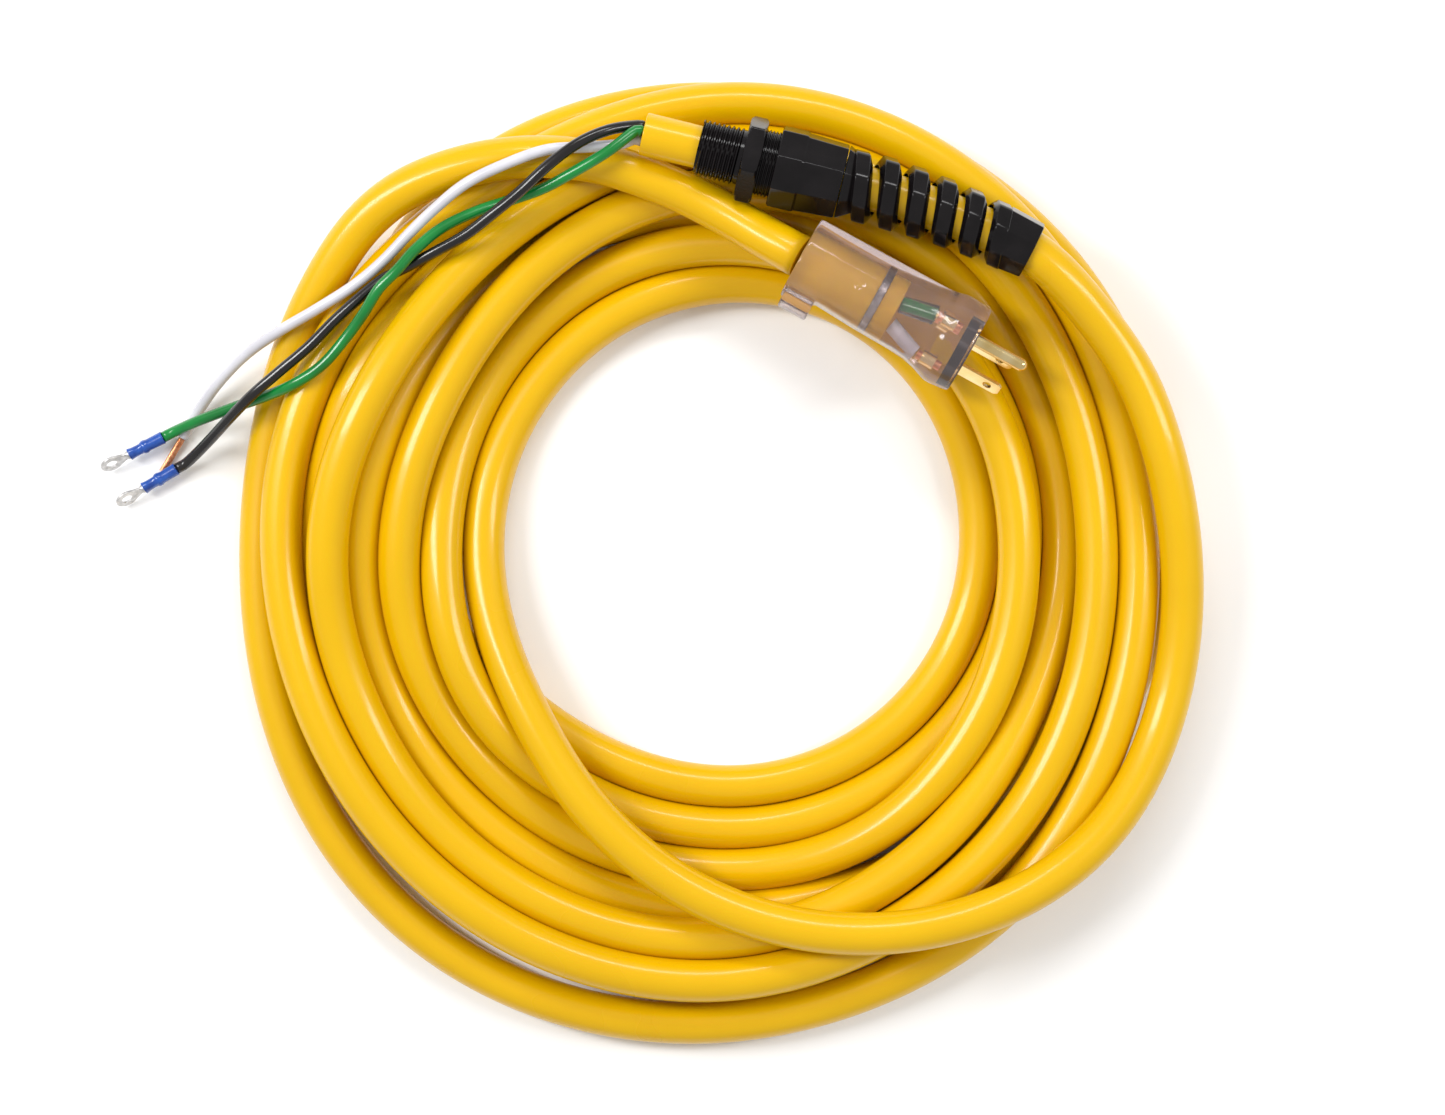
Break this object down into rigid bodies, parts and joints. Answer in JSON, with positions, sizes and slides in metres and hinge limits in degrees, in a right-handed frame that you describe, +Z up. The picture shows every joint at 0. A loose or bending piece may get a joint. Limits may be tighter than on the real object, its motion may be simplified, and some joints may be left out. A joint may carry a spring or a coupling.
{
  "type": "shore power cord",
  "caption": "Coiled yellow power cord with a clear moulded grounded plug and a black thread-in strain relief with a spiral flex tail and stripped leads.",
  "frame": {"origin": "centre of the coil, on the surface that it lies on", "axes": "+Z up from that surface; the strain relief and the plug lie on the coil's +Y side, and the free leads run out towards -X"},
  "size_m": [0.4209, 0.366, 0.0663],
  "materials": {
    "yellow_jacket": "glossy extruded thermoplastic rubber",
    "black_nylon": "satin moulded nylon",
    "seal_rubber": "matte",
    "washer_nylon": "satin",
    "insulation_black": "glossy",
    "insulation_white": "glossy",
    "insulation_green": "glossy",
    "copper": "bare twisted copper strands",
    "sleeve_blue": "translucent vinyl",
    "tinned_metal": "dull tin plating",
    "clear_plastic": "clear moulded vinyl with a faint pinkish tint",
    "band_metal": "rolled strip",
    "prong_brass": "polished"
  },
  "bodies": {
    "root": {"cord_coil": "yellow_jacket", "cord_plug_run": "yellow_jacket", "cord_gland_run": "yellow_jacket", "cord_gland_core": "yellow_jacket", "gland_body": "black_nylon", "lead_black": "insulation_black", "lead_white": "insulation_white", "lead_green": "insulation_green", "bare_copper_white": "copper", "copper_tip_black": "copper", "copper_tip_green": "copper", "sleeve_black": "sleeve_blue", "sleeve_green": "sleeve_blue", "ring_terminal_black": "tinned_metal", "ring_terminal_green": "tinned_metal", "plug_body": "clear_plastic", "plug_cord_end": "yellow_jacket", "plug_band": "band_metal", "prong_bridge": "black_nylon", "ground_pin": "prong_brass", "line_blade": "prong_brass", "neutral_blade": "prong_brass", "plug_wire_green": "insulation_green", "plug_wire_black": "insulation_black", "plug_wire_white": "insulation_white", "plug_strands": "copper", "crimp_ground": "prong_brass", "crimp_line": "prong_brass", "crimp_neutral": "prong_brass"},
    "seal_slider": {"seal_bushing": "seal_rubber", "slip_washer": "washer_nylon", "flex_tail": "black_nylon"},
    "nut": {"compression_nut": "black_nylon"}
  },
  "joints": [
    {"name": "seal_slide", "type": "slide", "parent": "root", "child": "seal_slider", "axis": [0.9724, -0.2334, 0], "range_m": [0, 0.0025]},
    {"name": "nut_turn", "type": "hinge", "parent": "seal_slider", "child": "nut", "pos_m": [0.02685, 0.14343, 0.049], "axis": [0.9724, -0.2334, 0], "range_deg": [0, 720]}
  ],
  "couplings": [
    {"joint": "nut_turn", "follows": "seal_slide", "rad_per_m": 5026.5}
  ]
}
